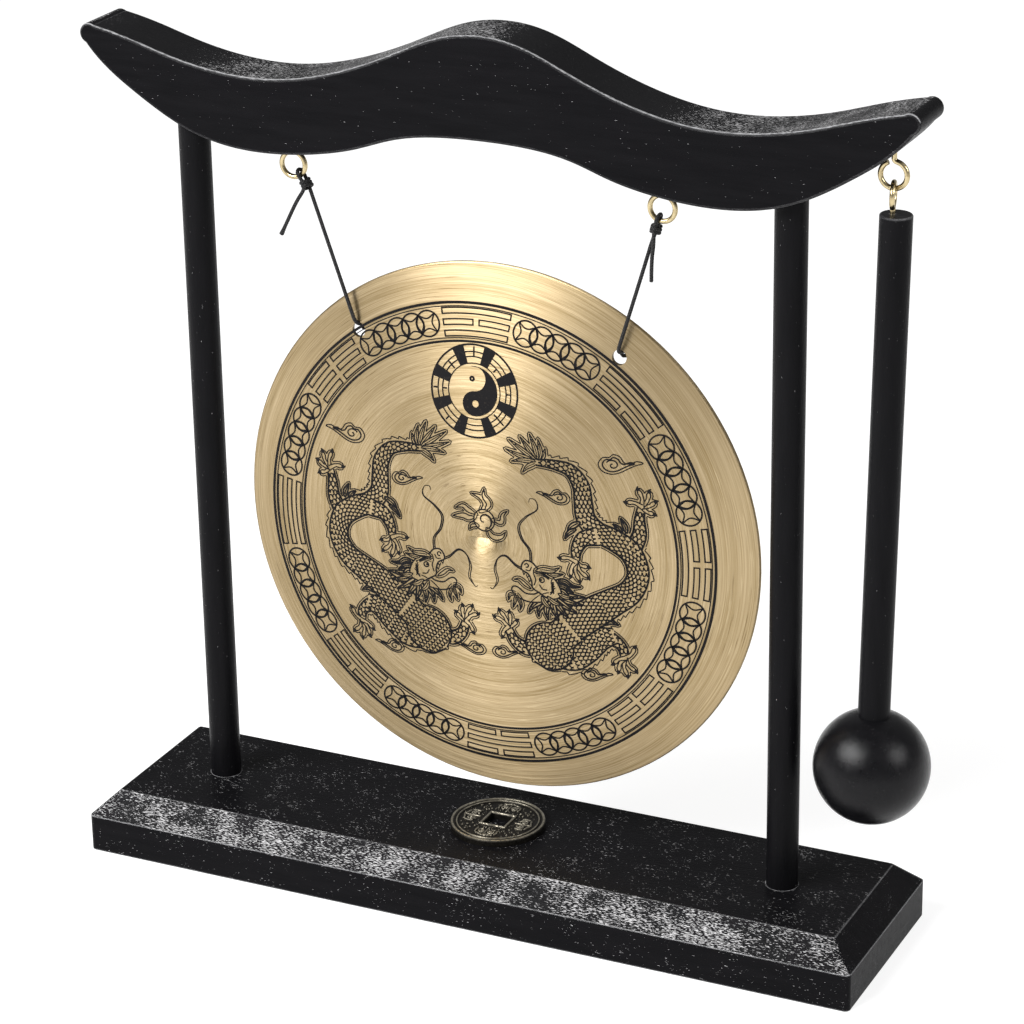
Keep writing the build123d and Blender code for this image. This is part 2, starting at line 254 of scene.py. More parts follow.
# ---- materials
class Look:
    """A material and the few node moves that the finishes here share."""

    def __init__(self, name, **settings):
        self.material = bpy.data.materials.new(name)
        self.material.use_nodes = True
        self.tree = self.material.node_tree
        self.shader = self.tree.nodes["Principled BSDF"]
        for socket, value in settings.items():
            self.shader.inputs[socket.replace("_", " ")].default_value = value
        coordinates = self.node("ShaderNodeTexCoord").outputs["Object"]
        self.place = self.vector_math("MULTIPLY", coordinates, (1 / MM, 1 / MM, 1 / MM))

    def feed(self, socket, value):
        """Link a socket, or set it where the value is a plain number."""
        if isinstance(value, bpy.types.NodeSocket):
            self.tree.links.new(value, socket)
        else:
            socket.default_value = value

    def node(self, kind, inputs=None, **settings):
        """A new node with its settings, and its inputs fed by name or number."""
        made = self.tree.nodes.new(kind)
        for key, value in settings.items():
            setattr(made, key, value)
        for key, value in (inputs or {}).items():
            self.feed(made.inputs[key], value)
        return made

    def vector_math(self, operation, *inputs):
        return self.node("ShaderNodeVectorMath", dict(enumerate(inputs)), operation=operation).outputs[0]

    def math(self, operation, *inputs):
        return self.node("ShaderNodeMath", dict(enumerate(inputs)), operation=operation).outputs[0]

    def times(self, a, b):
        return self.math("MULTIPLY", a, b)

    def plus(self, a, b):
        return self.math("ADD", a, b)

    def dot(self, a, b):
        """How far two directions agree."""
        return self.node("ShaderNodeVectorMath", {0: a, 1: b}, operation="DOT_PRODUCT").outputs["Value"]

    def split(self, vector):
        """The X, Y and Z of a vector."""
        return self.node("ShaderNodeSeparateXYZ", {0: vector}).outputs

    def combined(self, **parts):
        """A vector from X, Y or Z."""
        return self.node("ShaderNodeCombineXYZ", parts).outputs[0]

    def stretched(self, scale):
        return self.vector_math("MULTIPLY", self.place, scale)

    def noise(self, scale=1.0, detail=3.0, vector=None, rough=0.5):
        return self.node("ShaderNodeTexNoise", {"Vector": vector or self.place, "Scale": scale,
                                                "Detail": detail, "Roughness": rough}).outputs["Fac"]

    def spread(self, value, low, high, to_low=0.0, to_high=1.0):
        """Value from low..high stretched to to_low..to_high, held at the ends."""
        return self.node("ShaderNodeMapRange", {"Value": value, "From Min": low, "From Max": high,
                                                "To Min": to_low, "To Max": to_high}).outputs["Result"]

    def mix(self, share, a, b):
        made = self.node("ShaderNodeMix", {"Factor": share}, data_type="RGBA")
        for socket, colour in ((made.inputs[6], a), (made.inputs[7], b)):
            self.feed(socket, colour if isinstance(colour, bpy.types.NodeSocket) else (*colour, 1))
        return made.outputs[2]

    def bump(self, height, distance, strength):
        return self.node("ShaderNodeBump", {"Strength": strength, "Distance": distance * MM,
                                            "Height": height}).outputs["Normal"]

    def coat(self, colour, grain, smoothest, roughest, depth, strength):
        """Finish whose roughness and bump both follow one grain."""
        roughness = self.spread(grain, 0.3, 0.7, smoothest, roughest)
        return self.finish(colour, roughness, self.bump(grain, depth, strength))

    def finish(self, colour, roughness=None, normal=None):
        for name, value in (("Base Color", colour), ("Roughness", roughness), ("Normal", normal)):
            if value is not None:
                self.feed(self.shader.inputs[name], value)
        return self.material


FIBRE, LONG_FIBRE = 0.16, 0.12      # how much the grain is drawn out along the fibres
PORE_CUTS = 0.79, 0.53              # where the pore noise is cut for the fewest and the most pale flecks: painted glints of the key light, plus a few stray real pale pores
RUBBED_AND_HIGHLIT_EDGE = 0.5                     # how far in from an edge the lacquer is painted pale, partly as rubbed lacquer and partly as a painted edge highlight


def lacquered_wood(name, grain, towards=(0, 0, 1), reach=0.9, glint_density=0.0, ior=1.08, rough=0.30,
                   stray=0.02, wear=1.0, ridge=0.0, grain_height=0.10):
    """Black satin lacquer over open-grained wood.

    Grain is the axis that the fibres run along.  Pale pores are painted glints of the key light:
    they show where the surface looks along towards, within the cosine reach, the more densely
    the larger the density given, with a few stray, real pale pores elsewhere.  Wear pales the
    edges, partly as rubbed lacquer and partly as a painted edge highlight, and ridge paints a
    highlight where a top rounds over to a side.
    """
    look = Look(name, IOR=ior, Specular_IOR_Level=0.9)
    along = look.stretched([FIBRE if axis == grain else 1.0 for axis in "XYZ"])
    grit = look.noise(3.4, 2.0, along, 0.6)
    flow = look.noise(0.5, 3.0, look.stretched([LONG_FIBRE if axis == grain else 1.0 for axis in "XYZ"]))
    pores = look.noise(6.2, 1.0, along, 0.5)
    patch = look.spread(look.noise(0.13, 3.0), 0.38, 0.62)
    geometry = look.node("ShaderNodeNewGeometry")
    # painted glints: pores turn pale where the normal looks along towards, the way that sends the key light
    # to the camera
    facing = look.dot(look.node("ShaderNodeTexCoord").outputs["Normal"], Vector(towards).normalized())
    near = look.spread(facing, reach, 0.5 + reach / 2)
    share = look.times(near, look.spread(patch, 0.0, 1.0, 0.7, 1.0))
    share = look.plus(look.times(share, glint_density), look.times(patch, stray))
    cut = look.spread(share, 0.0, 1.0, *PORE_CUTS)
    # pale flecks: painted glints of the key light, plus a few stray real pale pores
    flecks_and_glints = look.spread(pores, cut, look.plus(cut, 0.04))
    black = look.mix(flow, (0.0026, 0.0026, 0.0031), (0.0062, 0.0060, 0.0069))
    colour = look.mix(look.times(flecks_and_glints, 0.9), black, (0.46, 0.455, 0.46))
    # pale edges: partly rubbed lacquer, partly a painted edge highlight
    rounded = look.node("ShaderNodeBevel", {"Radius": RUBBED_AND_HIGHLIT_EDGE * MM}, samples=4).outputs[0]
    edge = look.times(look.spread(look.dot(rounded, geometry.outputs["Normal"]), 0.997, 0.94), wear)
    # painted highlight along upper edges where a top rounds over to the front or back
    if ridge:
        _, y, z = look.split(geometry.outputs["True Normal"])
        front = look.math("ABSOLUTE", y)
        rise = look.times(front, look.math("SUBTRACT", 1.0, front))
        rise = look.times(rise, look.spread(z, 0.0, 0.35))
        edge = look.math("MAXIMUM", edge, look.spread(rise, 0.13, 0.20, 0.0, ridge))
    # edges mixed to pale grey: rubbed lacquer and painted edge highlight
    rubbed = look.times(edge, look.spread(grit, 0.36, 0.56, 0.4, 1.0))
    colour = look.mix(rubbed, colour, (0.46, 0.46, 0.47))
    roughness = look.spread(flow, 0.3, 0.7, rough, rough + 0.08)
    height = look.plus(grit, look.times(flow, 0.5))
    return look.finish(colour, roughness, look.bump(height, grain_height, 0.8))


GONG_LOW, GONG_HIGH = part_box("gong_disc")
GONG_AXIS = (GONG_LOW + GONG_HIGH) / 2 / MM
SPUN_AT = (-2.2, -0.4)          # middle of the spinning marks, from the gong's axis


def brushed_brass(name):
    """Spun and brushed brass: arcs of fine scratches round the gong's middle."""
    look = Look(name, Metallic=1.0, Anisotropic=0.80)
    spun_at = GONG_AXIS.x + SPUN_AT[0], 0, GONG_AXIS.z + SPUN_AT[1]
    offset = look.vector_math("SUBTRACT", look.place, spun_at)
    x, _, z = look.split(offset)
    radius = look.math("SQRT", look.plus(look.times(x, x), look.times(z, z)))
    round_it = look.vector_math("NORMALIZE", look.combined(X=look.times(z, -1.0), Z=x))
    turned_x, _, turned_z = look.split(round_it)

    def rings(across, along):
        """A vector that runs fast across the scratches and slowly along them."""
        return look.combined(X=look.times(turned_x, along), Y=look.times(turned_z, along),
                             Z=look.times(radius, across))

    hair = look.noise(1.0, 3.0, rings(3.8, 1.6), 0.8)
    scratch = look.noise(1.0, 2.0, rings(3.0, 4.5), 0.6)
    broad = look.noise(1.0, 2.0, rings(0.35, 0.8), 0.5)
    cloud = look.noise(0.03, 3.0)
    tone = look.plus(look.times(hair, 0.78), look.times(broad, 0.22))
    colour = look.mix(look.spread(tone, 0.36, 0.64), (0.285, 0.207, 0.099), (0.525, 0.410, 0.250))
    colour = look.mix(look.spread(cloud, 0.55, 0.8, 0.0, 0.3), colour, (0.27, 0.195, 0.088))
    gouges = look.times(look.spread(scratch, 0.62, 0.69), look.spread(cloud, 0.42, 0.62, 0.15, 0.85))
    colour = look.mix(gouges, colour, (0.17, 0.115, 0.052))
    shine = look.spread(scratch, 0.34, 0.28)
    colour = look.mix(look.times(shine, 0.4), colour, (0.78, 0.64, 0.42))
    roughness = look.spread(hair, 0.3, 0.7, 0.36, 0.48)
    height = look.plus(look.times(hair, 0.6), broad)
    outward = look.node("ShaderNodeVectorTransform", {0: look.vector_math("NORMALIZE", offset)},
                        vector_type="VECTOR", convert_from="OBJECT", convert_to="WORLD").outputs[0]
    look.feed(look.shader.inputs["Tangent"], outward)
    return look.finish(colour, roughness, look.bump(height, 0.02, 0.6))


def printed_ink(name):
    """Black screen-printing ink, worn thin in places."""
    look = Look(name, Specular_IOR_Level=0.10)
    wear = look.noise(1.4, 3.0)
    colour = look.mix(look.spread(wear, 0.62, 0.75), (0.006, 0.0055, 0.006), (0.030, 0.025, 0.018))
    return look.coat(colour, wear, 0.38, 0.55, 0.01, 0.4)


def brassed_wire(name):
    """Bright brass plating with faint drawing lines and dull spots."""
    look = Look(name, Metallic=1.0)
    spots = look.noise(0.9, 3.0)
    fine = look.noise(6.0, 2.0)
    colour = look.mix(look.spread(spots, 0.4, 0.7), (0.58, 0.48, 0.28), (0.36, 0.285, 0.155))
    return look.coat(colour, fine, 0.16, 0.30, 0.02, 0.4)


COIN_RELIEF = 0.45              # how far the coin's marks stand above its field


def antique_brass(name):
    """Dark patinated brass, rubbed bright on what stands up from the coin's field."""
    look = Look(name, Metallic=0.9)
    low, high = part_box("coin_medallion")
    field = high.z / MM - COIN_RELIEF
    raised = look.spread(look.split(look.place)[2], field + 0.16, field + 0.42)
    grime = look.noise(1.6, 4.0, rough=0.65)
    rubbed = look.times(raised, look.spread(grime, 0.3, 0.62, 0.25, 1.0))
    patina = look.mix(look.spread(grime, 0.35, 0.65), (0.010, 0.009, 0.008), (0.030, 0.027, 0.022))
    colour = look.mix(rubbed, patina, (0.40, 0.365, 0.285))
    roughness = look.spread(rubbed, 0.0, 1.0, 0.5, 0.3)
    return look.finish(colour, roughness, look.bump(look.noise(5.0, 3.0), 0.04, 0.5))


def waxed_cord(name):
    """Black waxed cotton, with paler fibre ends."""
    look = Look(name, Specular_IOR_Level=0.18, Sheen_Weight=0.06)
    fibre = look.noise(7.0, 3.0, look.stretched((1.0, 1.0, 0.5)))
    colour = look.mix(look.spread(fibre, 0.5, 0.8), (0.005, 0.005, 0.006), (0.07, 0.068, 0.065))
    return look.coat(colour, fibre, 0.42, 0.6, 0.03, 0.6)


def screw_steel(name):
    """Zinc-plated steel with turning marks."""
    look = Look(name, Metallic=1.0)
    marks = look.noise(3.0, 3.0, look.stretched((0.4, 3.0, 3.0)))
    colour = look.mix(marks, (0.42, 0.43, 0.45), (0.62, 0.63, 0.64))
    return look.coat(colour, marks, 0.25, 0.42, 0.02, 0.5)


# painted sheen: the base's pores glint pale on the chamfer, which faces the key light, and the beam's where
# its top faces up towards the key light
wood_base = lacquered_wood("lacquered_wood_base", "X", (0, -0.696, 0.718), 0.69, 0.78, stray=0.26,
                           wear=0.7)
wood_beam = lacquered_wood("lacquered_wood_beam", "X", (-0.28, 0, 0.96), 0.86, 0.86,
                           wear=0.4, ridge=0.6)
wood_upright = lacquered_wood("lacquered_wood_upright", "Z", ior=1.10, wear=0.4)
wood_turned = lacquered_wood("lacquered_wood_turned", "round", ior=1.18, rough=0.12, wear=0.0,
                             grain_height=0.10)
brass_face = brushed_brass("gong_brass")
ink = printed_ink("printed_ink")
wire = brassed_wire("brassed_wire")
coin_metal = antique_brass("antique_brass")
cord_fibre = waxed_cord("waxed_cord")
steel = screw_steel("screw_steel")


def paint(node, material):
    """Give a CAD node its finish."""
    slots = nodes[node].material_slots
    if not slots:
        nodes[node].data.materials.append(material)
    for one in slots:
        one.material = material


paint("base_board", wood_base)
paint("roof_beam", wood_beam)
for node in ("left_post", "right_post", "mallet_handle"):
    paint(node, wood_upright)
paint("mallet_head", wood_turned)
paint("gong_disc", brass_face)
for node in ("left_hanger_eye", "right_hanger_eye", "mallet_hanger_eye", "mallet_eye"):
    paint(node, wire)
paint("base_screws", steel)


# ---- cords
KNOT_TURNS, KNOT_LENGTH = 2.4, 2.1
KNOT_ACROSS, KNOT_DEEP = 1.02, 1.5  # reach of the turns from the tie's middle
OVERHAND_SIZE = 0.56
SHORT_END = [(0.2, 0.5, -0.8), (0.3, 1.1, -2.0), (0.2, 1.5, -3.4)]


def tied_knot(side):
    """More than two turns of the cord, drawn tight round both of its strands."""
    middle, along = np.array(TIE_AT[side]), np.array(TIE_ALONG[side])
    across = np.cross(along, (0, 1, 0))
    line = []
    for t in np.linspace(0, 1, 90):
        angle = 2 * pi * KNOT_TURNS * t + 0.6
        swell = 1 + 0.12 * sin(3 * angle)
        centre = middle + along * (KNOT_LENGTH * (t - 0.5) + 0.25 * sin(angle))
        line.append(centre + across * (KNOT_ACROSS * swell * cos(angle))
                    + np.array((0, KNOT_DEEP, 0)) * sin(angle))
    return braid(line)


def stopper_knot(side):
    """An overhand knot behind the gong, with its short end."""
    middle = np.array(STOPPER_AT[side])
    line = []
    for t in np.linspace(0.35, 2 * pi + 0.15, 110):
        u, v, w = sin(t) + 2 * sin(2 * t), cos(t) - 2 * cos(2 * t), -sin(3 * t)
        line.append(middle + OVERHAND_SIZE * np.array((u, 1.25 * w, v)))
    ending = curved([line[-1], *(line[-1] + np.array(SHORT_END))], 0.2)
    return braid(np.vstack([line, ending[1:]]), flare_end=True)


for side, route in CORD_ROUTES.items():
    line = route_line(route)
    for name, node, (points, faces) in (("braided_cord", "cord", braid(line, side == "left")),
                                        ("tied_knot", "cord_knot", tied_knot(side)),
                                        ("overhand_knot", "stopper_knot", stopper_knot(side))):
        piece = mesh_object(f"{side}_{name}", np.array(points) * MM, faces, cord_fibre)
        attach(piece, "cords")
        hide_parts(f"{side}_{node}")


# ---- the face's print
# Drawn flat in millimetres from the middle of the print, u to the right and v up, and then
# laid on the dome.
PRINT_AT = (-2.25, -1.55)       # middle of the print, from the gong's axis
PRINT_TURN = radians(2.1)       # the print leans with its top to -X
INK_PROUD, INK_DEPTH = 0.05, 0.09
INK_FACET = 3.0                 # longest edge that follows the dome well enough
BAND_INNER_R, BAND_MIDDLE_R, BAND_OUTER_R = 55.4, 60.5, 65.6
LINE, HALO_LINE = 0.36, 0.19
LINE_WEIGHT = 1.45              # how much heavier the figures' lines are than drawn
SCALE_PITCH, SPIKE_PITCH, SPIKE_REACH = 1.22, 2.1, 0.85
GONG_R = (GONG_HIGH.x - GONG_LOW.x) / 2 / MM
GONG_SHEET = 1.2


def face_y(distance):
    """Y of the gong's front skin at a distance from its axis."""
    front = GONG_LOW.y / MM
    rise = (GONG_HIGH.y - GONG_LOW.y) / MM - GONG_SHEET
    sphere = (GONG_R ** 2 + rise ** 2) / (2 * rise)
    return front + sphere - sqrt(sphere ** 2 - min(distance, GONG_R) ** 2)


def inside(points, outline):
    """Which points lie inside a closed outline."""
    x, y = points[:, 0], points[:, 1]
    within = np.zeros(len(points), bool)
    for (ax, ay), (bx, by) in zip(outline, np.roll(outline, -1, axis=0)):
        crosses = (ay > y) != (by > y)
        if crosses.any():
            at = ax + (y[crosses] - ay) / (by - ay) * (bx - ax)
            within[crosses] ^= x[crosses] < at
    return within


def flat_frames(line):
    """Unit directions along a flat line, and to its left, at each of its points."""
    ahead = np.gradient(line, axis=0)
    ahead /= np.maximum(np.linalg.norm(ahead, axis=1), 1e-9)[:, None]
    return ahead, np.stack([-ahead[:, 1], ahead[:, 0]], 1)


def runs(shows):
    """First and last+1 of each stretch of points that shows."""
    ends = np.flatnonzero(np.diff(np.concatenate([[0], shows.astype(int), [0]])))
    return zip(ends[::2], ends[1::2])


class Drawing:
    """Line work and filled shapes, where a later figure can hide what lies behind it."""

    def __init__(self):
        self.strokes = []
        self.fills = []
        self.bodies = []        # spines, with how far the shape reaches to either side

    def stroke(self, line, width):
        self.strokes.append((line, np.full(len(line), width)))

    def line(self, points, width=LINE, start=1.0, end=1.0, smooth=True, closed=False, step=0.3):
        """A stroke that may thin towards its start or its end."""
        line = curved(points, step, closed) if smooth else evenly(points, step)
        share = np.linspace(0, 1, len(line))
        widths = width * np.minimum(start + (1 - start) * np.minimum(share * 3, 1),
                                    end + (1 - end) * np.minimum((1 - share) * 1.6, 1))
        self.strokes.append((line, widths))

    def arc(self, centre, radius, start, end, width=LINE, step=0.35):
        """A stroke along a circle, angles in degrees."""
        count = max(6, ceil(abs(radians(end - start)) * radius / step))
        angles = np.radians(np.linspace(start, end, count + 1))
        self.stroke(np.array(centre) + radius * np.stack([np.cos(angles), np.sin(angles)], 1), width)

    def fill(self, outline, *holes):
        self.fills.append([np.array(shape, float) for shape in (outline, *holes)])

    def cover(self, outline):
        """Hide the strokes drawn so far where they lie inside an outline."""
        outline = np.array(outline, float)
        kept = []
        for line, widths in self.strokes:
            shows = ~inside(line, outline)
            if shows.all():
                kept.append((line, widths))
                continue
            for first, last in runs(shows):
                if last - first > 1:
                    kept.append((line[first:last], widths[first:last]))
        self.strokes = kept

    def shape(self, points, width):
        """A smooth closed outline that hides what lies behind it."""
        self.cover(curved(points, 0.3, closed=True))
        self.line(points, width, closed=True)

    def limb(self, spine, half, width, spikes=0.0):
        """Both edges of a shape along its spine, which hides what lies behind it."""
        _, aside = flat_frames(spine)
        edges = spine + aside * half[:, None], spine - aside * half[:, None]
        self.cover(np.vstack([edges[0], edges[1][::-1]]))
        for edge in edges:
            self.stroke(edge, width)
        self.bodies.append((spine, half, half + spikes))

    def leaf(self, points, fat, width=LINE, vein=True):
        """A pointed leaf or flame along a bent line."""
        spine = curved(points, 0.3)
        share = np.linspace(0, 1, len(spine))
        self.limb(spine, fat / 2 * np.sin(pi * share ** 0.8), width)
        if vein:
            cut = len(spine) // 5
            self.stroke(spine[cut:-cut], width * 0.7)

    def silhouette(self, gap):
        """A fine line all round the figure, a little way outside it."""
        rings, cores = [], []
        for spine, left, right in self.bodies:
            ahead, aside = flat_frames(spine)
            for rims, reach in ((rings, gap), (cores, gap * 0.93)):
                one = spine + aside * (left + reach)[:, None]
                other = spine - aside * (right + reach)[:, None]
                tips = [spine[-1:] + ahead[-1] * reach, spine[:1] - ahead[0] * reach]
                rims.append(np.vstack([one, tips[0], other[::-1], tips[1]]))
        for ring in rings:
            line = evenly(np.vstack([ring, ring[:1]]), 0.25)
            for first, last in runs(~np.any([inside(line, core) for core in cores], axis=0)):
                if last - first > 3:
                    self.stroke(line[first:last], HALO_LINE)
        return self

    def mirrored(self):
        """The same drawing with left and right exchanged."""
        other = Drawing()
        flip = np.array((-1.0, 1.0))
        other.strokes = [(line * flip, widths) for line, widths in self.strokes]
        other.fills = [[shape * flip for shape in shapes] for shapes in self.fills]
        return other

    def heavier(self):
        """The same drawing with all its strokes wider."""
        self.strokes = [(line, widths * LINE_WEIGHT) for line, widths in self.strokes]
        return self

    def piece(self, name):
        """The drawing as thin raised ink on the gong's dome."""
        points, faces = [], []
        for line, widths in self.strokes:
            if len(line) < 2:
                continue
            half = flat_frames(line)[1] * widths[:, None] / 2
            start = len(points)
            for one, other in zip(line + half, line - half):
                points += [tuple(one), tuple(other)]
            faces += [(start + 2 * i, start + 2 * i + 1, start + 2 * i + 3, start + 2 * i + 2)
                      for i in range(len(line) - 1)]
        for shapes in self.fills:
            start = len(points)
            points += [tuple(p) for shape in shapes for p in shape]
            loops = [[Vector((*p, 0)) for p in shape] for shape in shapes]
            faces += [tuple(start + i for i in triangle) for triangle in tessellate_polygon(loops)]
        sheet = bmesh.new()
        vertices = [sheet.verts.new((u, v, 0)) for u, v in points]
        for face in faces:
            sheet.faces.new([vertices[i] for i in face])
        for _ in range(3):
            long = [e for e in sheet.edges if e.calc_length() > INK_FACET]
            if long:
                bmesh.ops.subdivide_edges(sheet, edges=long, cuts=1, use_grid_fill=False)
                bmesh.ops.triangulate(sheet, faces=[f for f in sheet.faces if len(f.verts) > 4])
        bmesh.ops.recalc_face_normals(sheet, faces=sheet.faces)
        for face in sheet.faces:
            if face.normal.z < 0:
                face.normal_flip()
        for vertex in sheet.verts:
            u, v = vertex.co.x, vertex.co.y
            x = PRINT_AT[0] + u * cos(PRINT_TURN) - v * sin(PRINT_TURN)
            z = PRINT_AT[1] + u * sin(PRINT_TURN) + v * cos(PRINT_TURN)
            y = face_y(hypot(x, z)) - INK_PROUD
            vertex.co = Vector((GONG_AXIS.x + x, y, GONG_AXIS.z + z)) * MM
        mesh = bpy.data.meshes.new(name)
        sheet.to_mesh(mesh)
        sheet.free()
        mesh.materials.append(ink)
        made = bpy.data.objects.new(name, mesh)
        bpy.context.scene.collection.objects.link(made)
        body = made.modifiers.new("ink_film", "SOLIDIFY")
        body.thickness = INK_DEPTH * MM
        body.offset = -1
        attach(made, "gong")
        return made


def polar(radius, angle):
    """A point of the print, the angle in degrees from the top and to the right."""
    return radius * sin(radians(angle)), radius * cos(radians(angle))


def around(centre, radius, angle):
    """A point at an angle from a centre, in radians from the right."""
    return centre[0] + radius * cos(angle), centre[1] + radius * sin(angle)


BAR_PITCH, BAR_HEIGHT = 3.0, 1.5
BAR_HALF_ANGLE, BAR_GAP_ANGLE = 9.1, 0.85
# whole (1) and broken (0) bars, from the rim inwards
SIGNS = [(1, 0, 1), (1, 1, 0), (0, 0, 1), (1, 0, 0), (0, 1, 0), (0, 1, 1), (1, 1, 1), (0, 0, 0)]


def bar(art, radius, start, end):
    """The outline of one bar of a three-bar sign, bent round the band."""
    inner, outer = radius - BAR_HEIGHT / 2, radius + BAR_HEIGHT / 2
    art.arc((0, 0), outer, 90 - start, 90 - end)
    art.arc((0, 0), inner, 90 - start, 90 - end)
    for angle in (start, end):
        art.line([polar(inner - LINE / 2, angle), polar(outer + LINE / 2, angle)], smooth=False)


def sign_block(middle, sign):
    """Three bars round the band."""
    art = Drawing()
    for row, whole in enumerate(sign):
        radius = BAND_MIDDLE_R + BAR_PITCH * (1 - row)
        ends = [-BAR_HALF_ANGLE, BAR_HALF_ANGLE]
        if not whole:
            ends[1:1] = -BAR_GAP_ANGLE, BAR_GAP_ANGLE
        for start, end in zip(ends[::2], ends[1::2]):
            bar(art, radius, middle + start, middle + end)
    return art


RING_COUNT, RING_R = 5, 3.45
RING_PITCH = 4.45               # degrees
WAIST_R = 1.35                  # how near the square's hollow sides come to the ring's middle


def ring_chain(middle):
    """Five interlocked rings, each round a square with hollow sides."""
    art = Drawing()
    for k in range(RING_COUNT):
        angle = middle + RING_PITCH * (k - (RING_COUNT - 1) / 2)
        centre = polar(BAND_MIDDLE_R, angle)
        art.arc(centre, RING_R, 0, 360, 0.46)
        for quarter in range(4):
            turn = radians(45 + 90 * quarter - angle)
            art.line([around(centre, RING_R, turn), around(centre, WAIST_R, turn + pi / 4),
                      around(centre, RING_R, turn + pi / 2)], 0.38)
    return art


def band_lines():
    """The bold and fine circles that bound the band."""
    art = Drawing()
    for radius, width in ((BAND_OUTER_R, 0.72), (BAND_OUTER_R - 0.95, 0.26),
                          (BAND_INNER_R, 0.62), (BAND_INNER_R + 0.85, 0.26)):
        art.arc((0, 0), radius, 0, 360, width, step=0.8)
    return art


EMBLEM_AT = (-0.6, 42.1)
EMBLEM_R, EMBLEM_INNER_R, EMBLEM_CORE_R = 12.8, 7.55, 6.75


def circle(centre, radius, start=0, end=360, count=48):
    """Points of an arc, in degrees."""
    angles = np.radians(np.linspace(start, end, count, endpoint=abs(end - start) < 360))
    return np.array([around(centre, radius, angle) for angle in angles])


def emblem():
    """A ring of eight three-bar signs about a disc of two halves."""
    art = Drawing()
    cx, cy = EMBLEM_AT
    art.arc(EMBLEM_AT, EMBLEM_R - 0.25, 0, 360, 0.5)
    art.arc(EMBLEM_AT, EMBLEM_INNER_R, 0, 360, 0.28)
    wedge = (7.5, -1.15), (12.5, -1.75), (12.6, 0), (12.5, 1.75), (7.5, 1.15), (7.6, 0)
    for k, sign in enumerate(SIGNS):
        spoke = 45 * k
        mid = radians(spoke + 22.5)
        art.fill([(cx + r * cos(mid) - w * sin(mid), cy + r * sin(mid) + w * cos(mid)) for r, w in wedge])
        for row, radius in enumerate((12, 10.65, 9.3)):
            if row:
                art.arc(EMBLEM_AT, radius, spoke - 17.5, spoke + 17.5, 0.34)
            if not sign[row]:
                ends = [around(EMBLEM_AT, r, radians(spoke)) for r in (radius - 1.3, radius)]
                art.line(ends, 0.42, smooth=False)
    a = EMBLEM_CORE_R
    dark = np.vstack([
        circle(EMBLEM_AT, a, 98, -90, 60),
        circle((cx, cy - a / 2), a / 2, 270, 90, 30)[1:],
        circle((cx, cy + a / 2), a / 2, -90, 72, 30)[1:-1],
    ])
    art.fill(dark, circle((cx + 0.35, cy - a / 2), 0.95, 0, 360, 24))
    eye = cx - 0.55, cy + a / 2
    art.fill(circle(eye, 0.78, 0, 360, 24), circle(eye, 0.24, 0, 360, 12))
    return art


def pearl():
    """A pearl wrapped in flames."""
    art = Drawing()
    u, v = 1.2, 6.6
    for spine, fat in (
        ([(-1, 2.4), (0.6, 4.4), (-0.6, 6.4), (-3.4, 7.3)], 1.5),
        ([(0.4, 2.8), (1.6, 4.8), (0.2, 7), (0.4, 9)], 1.4),
        ([(-2.6, 0.6), (-4.6, 0.2), (-6.2, 0.6), (-9.4, 0.2)], 1.5),
        ([(-2.2, 1.4), (-4.6, 2.4), (-6.2, 3.4), (-8.4, 2.6)], 1.3),
        ([(-2, -1.8), (-3.6, -2), (-4.4, -3)], 0.9),
        ([(2.6, 0.4), (5, 0), (5.6, 2.2), (7, 3.4)], 1.2),
        ([(0.8, -2.4), (2.4, -4.4), (4.8, -4.2), (6.2, -2.6)], 1.5),
    ):
        art.leaf([(u + a, v + b) for a, b in spine], fat, 0.24, vein=False)
    ring = circle((u, v), 3.05)
    art.cover(ring)
    art.line(ring, 0.26, closed=True)
    swirl = [(u + r * cos(t), v + r * sin(t)) for t, r in
             zip(np.linspace(-1.4, 4.6, 14), np.linspace(2.6, 0.5, 14))]
    art.line(swirl, 0.42, start=0.3, end=0.5)
    return art


def cloud(art, centre, size, way):
    """A curled cloud inside a second outline, with a trailing tail on its way side."""
    u, v = centre
    curl = [(u + size * r * cos(t), v + size * 0.8 * r * sin(t)) for t, r in
            zip(np.linspace(0.4, 7.6, 20), np.linspace(1.05, 0.2, 20))]
    art.line(curl, 0.24)
    lobes = [(1, -1), (-0.2, -1.25), (-1.4, -0.9), (-1.9, 0), (-1.3, 0.9), (-0.4, 1), (0.2, 1.45),
             (1.1, 1.2), (1.7, 0.45), (2.5, 0.35), (3.4, 0.75), (4.3, 0.55), (3.3, 0.2), (2.3, -0.3)]
    for grown, width in ((0.82, 0.26), (1.14, 0.2)):
        outline = [(u + way * (a - 0.1) * size * grown, v + b * size * grown) for a, b in lobes]
        art.line(outline, width, closed=True)


def scaly(art, spine, widths, spiky=False):
    """A scaled body along a spine; a spiky one has a saw-toothed outline on its right."""
    step = 0.25
    line = curved(spine, step)
    share = np.linspace(0, 1, len(line))
    half = np.interp(share, np.linspace(0, 1, len(widths)), widths) / 2
    ahead, aside = flat_frames(line)
    saw = SPIKE_REACH * (share * step * len(line) / SPIKE_PITCH % 1) * np.minimum(1, (1 - share) * 8)
    art.limb(line, half, 0.32, saw * spiky)
    rows = int(step * (len(line) - 1) / SCALE_PITCH)
    for row in range(1, rows):
        i = min(int(row * SCALE_PITCH / step), len(line) - 2)
        reach = half[i] - 0.15
        count = max(1, round(2 * reach / SCALE_PITCH))
        size = 2 * reach / count
        for k in range(count + row % 2):
            middle = -reach + size * (k + (0.0 if row % 2 else 0.5))
            arc = []
            for t in np.linspace(0, pi, 6):
                across = np.clip(middle + size / 2 * cos(t), -reach, reach)
                arc.append(line[i] + aside[i] * across + ahead[i] * SCALE_PITCH * 0.85 * (sin(t) - 0.4))
            art.stroke(np.array(arc), 0.26)


TOE_SHAPE = (0, 0.55, 0.8, 1), (0.62, 0.42, 0.6, 0.3)     # shares of a toe's length, half widths


